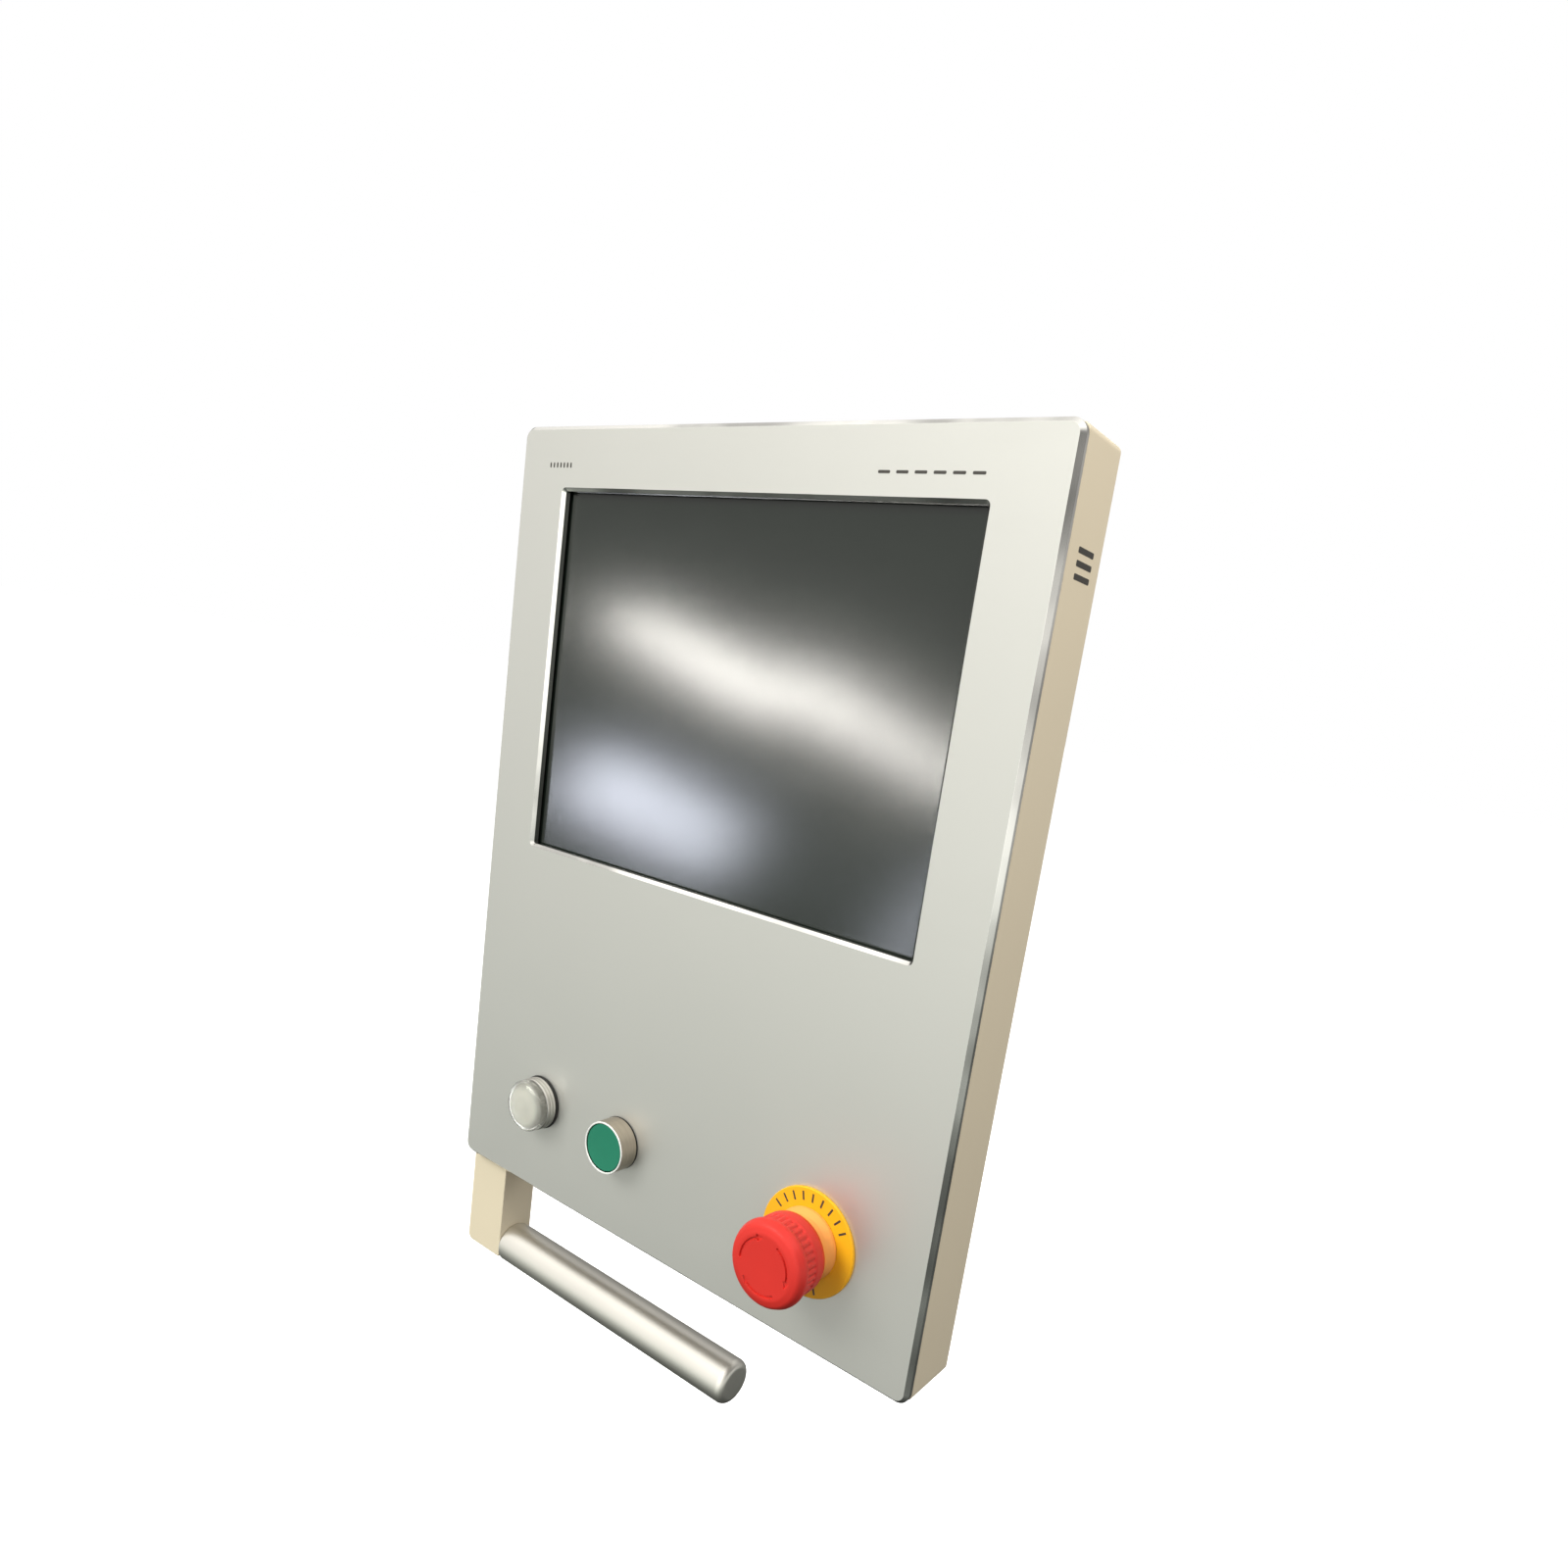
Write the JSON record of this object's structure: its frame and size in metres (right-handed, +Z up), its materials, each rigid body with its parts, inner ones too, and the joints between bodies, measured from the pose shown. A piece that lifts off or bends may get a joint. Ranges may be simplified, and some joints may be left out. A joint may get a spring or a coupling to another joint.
{
  "type": "hmi touch panel",
  "caption": "Upright operator panel: touch screen in a metal plate, pilot light, start button, twist-release emergency stop, shallow housing held from behind, grip bar below.",
  "frame": {"origin": "centre of the arm mount's rear face, which lies behind the middle of the panel", "axes": "+X to the operator's right, +Y from the front to the back (the way the arm mount faces), +Z up"},
  "size_m": [0.32, 0.0749, 0.4823],
  "materials": {
    "satin_aluminium": "fine satin, clear anodised, with polished chamfers",
    "beige_paint": "smooth semi-matt beige powder coat",
    "brushed_steel": "satin stainless steel",
    "zinc_steel": "bright zinc plated",
    "satin_nickel": "satin nickel plate with a polished rim",
    "black_rubber": "matt black",
    "screen_glass": "dark, anti-glare, switched off",
    "lcd_glass": "black polariser",
    "heatsink_aluminium": "bare extrusion",
    "white_plastic": "moulded white",
    "grey_plastic": "moulded dark grey",
    "clear_white_lens": "translucent white, smooth",
    "green_plastic": "moulded green, satin",
    "red_plastic": "moulded red, satin",
    "yellow_plastic": "moulded yellow, satin",
    "orange_plastic": "moulded light orange, satin",
    "circuit_board": "green solder mask",
    "flex_film": "amber flat flex"
  },
  "bodies": {
    "panel": {"front_plate": "satin_aluminium", "plate_gasket": "black_rubber", "housing": "beige_paint", "rear_cover": "beige_paint", "cover_screw_1": "zinc_steel", "cover_screw_2": "zinc_steel", "cover_screw_3": "zinc_steel", "cover_screw_4": "zinc_steel", "cover_screw_5": "zinc_steel", "cover_screw_6": "zinc_steel", "plate_nut_1": "zinc_steel", "plate_nut_2": "zinc_steel", "plate_nut_3": "zinc_steel", "plate_nut_4": "zinc_steel", "arm_mount_plate": "brushed_steel", "arm_backing_plate": "zinc_steel", "arm_bolt_1": "zinc_steel", "arm_bolt_2": "zinc_steel", "arm_bolt_3": "zinc_steel", "arm_bolt_4": "zinc_steel", "cable_grommet": "black_rubber", "display_gasket": "black_rubber", "touch_glass": "screen_glass", "lcd_cell": "lcd_glass", "lcd_backlight": "white_plastic", "display_carrier": "zinc_steel", "main_board": "circuit_board", "processor_heatsink": "heatsink_aluminium", "power_terminal": "green_plastic", "network_socket": "zinc_steel", "coin_cell": "zinc_steel", "power_capacitor": "grey_plastic", "inverter_board": "circuit_board", "ribbon_cable": "flex_film", "pilot_lens": "clear_white_lens", "pilot_bezel": "brushed_steel", "pilot_gasket": "black_rubber", "pilot_body": "grey_plastic", "pilot_nut": "grey_plastic", "pilot_led_block": "grey_plastic", "start_bezel": "satin_nickel", "start_gasket": "black_rubber", "start_spring": "brushed_steel", "start_nut": "zinc_steel", "start_contact_block": "grey_plastic", "estop_spring": "brushed_steel", "estop_collar": "orange_plastic", "estop_legend": "yellow_plastic", "estop_nut": "grey_plastic", "estop_contact_block": "grey_plastic", "handle_arm": "beige_paint", "grip_bar": "brushed_steel", "grip_bolt": "zinc_steel", "handle_screw_1": "zinc_steel", "handle_screw_2": "zinc_steel"},
    "start_button": {"start_cap": "green_plastic", "start_plunger": "white_plastic"},
    "stop_plunger": {"estop_stem": "grey_plastic"},
    "stop_knob": {"estop_head": "red_plastic"}
  },
  "joints": [
    {"name": "start_press", "type": "slide", "parent": "panel", "child": "start_button", "axis": [0, 1, 0], "range_m": [0, 0.0035], "stiffness_N_per_m": 900, "deforming": ["start_spring"]},
    {"name": "stop_push", "type": "slide", "parent": "panel", "child": "stop_plunger", "axis": [0, 1, 0], "range_m": [0, 0.0045], "stiffness_N_per_m": 3500, "deforming": ["estop_spring"]},
    {"name": "stop_twist", "type": "hinge", "parent": "stop_plunger", "child": "stop_knob", "pos_m": [0.096, -0.07, -0.1538], "axis": [0, 1, 0], "range_deg": [0, 40], "stiffness_Nm_per_rad": 0.06}
  ]
}
